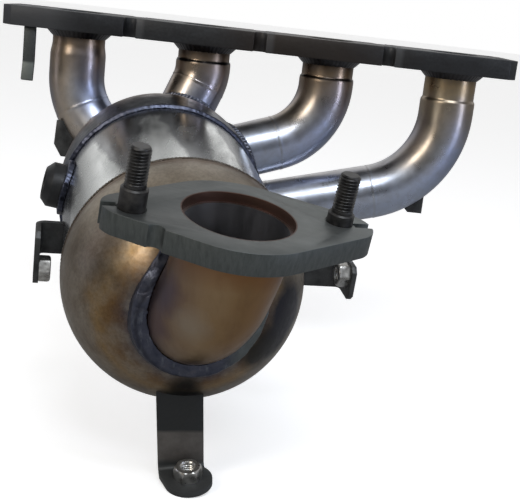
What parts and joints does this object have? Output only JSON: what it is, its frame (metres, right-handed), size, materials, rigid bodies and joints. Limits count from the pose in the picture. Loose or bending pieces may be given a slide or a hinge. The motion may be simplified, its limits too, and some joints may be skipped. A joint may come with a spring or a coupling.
{
  "type": "exhaust manifold",
  "caption": "Tubular exhaust manifold with a close-coupled catalyst can, a bolted head flange, and a domed outlet that turns up to a studded outlet flange.",
  "frame": {"origin": "centre of the head flange's gasket face, midway along the row of ports", "axes": "+Z out of the gasket face towards the cylinder head, +X along the row of ports, -Y towards the catalyst's outlet end"},
  "size_m": [0.335, 0.3177, 0.2283],
  "materials": {
    "flange_steel": "dark oxidised mill scale",
    "runner_steel": "bright stainless with straw and blue heat tint",
    "collector_steel": "stainless with blue and violet heat tint",
    "can_steel": "polished stainless sheet",
    "dome_steel": "matt stainless with brown and straw heat tint",
    "elbow_steel": "satin stainless with golden brown heat tint",
    "outlet_flange_steel": "satin grey steel",
    "boss_steel": "dark machined steel",
    "stud_steel": "black oxide",
    "bracket_steel": "dark oxidised sheet",
    "nut_zinc": "bright plated",
    "weld": "rippled weld bead, blue-grey",
    "substrate": "stands in for coated ceramic honeycomb",
    "mat": "stands in for ceramic fibre mat"
  },
  "bodies": {
    "root": {"head_flange": "flange_steel", "runner_1": "runner_steel", "runner_2": "runner_steel", "runner_3": "runner_steel", "runner_4": "runner_steel", "port_weld_1": "weld", "port_weld_2": "weld", "port_weld_3": "weld", "port_weld_4": "weld", "collector_shell": "collector_steel", "collector_weld_1": "weld", "collector_weld_2": "weld", "collector_weld_3": "weld", "collector_weld_4": "weld", "collector_can_weld": "weld", "catalyst_can": "can_steel", "catalyst_substrate": "substrate", "support_mat": "mat", "sensor_boss": "boss_steel", "sensor_boss_weld": "weld", "outlet_dome": "dome_steel", "dome_can_weld": "weld", "outlet_elbow": "elbow_steel", "elbow_weld": "weld", "outlet_flange": "outlet_flange_steel", "outlet_flange_weld": "weld", "outlet_stud_left": "stud_steel", "outlet_stud_right": "stud_steel", "bottom_bracket": "bracket_steel", "bottom_bracket_nut": "nut_zinc", "left_bracket": "bracket_steel", "left_bracket_nut": "nut_zinc", "right_bracket": "bracket_steel", "right_bracket_nut": "nut_zinc", "flange_tab": "bracket_steel", "gusset": "bracket_steel", "runner_lug": "bracket_steel"}
  },
  "joints": []
}
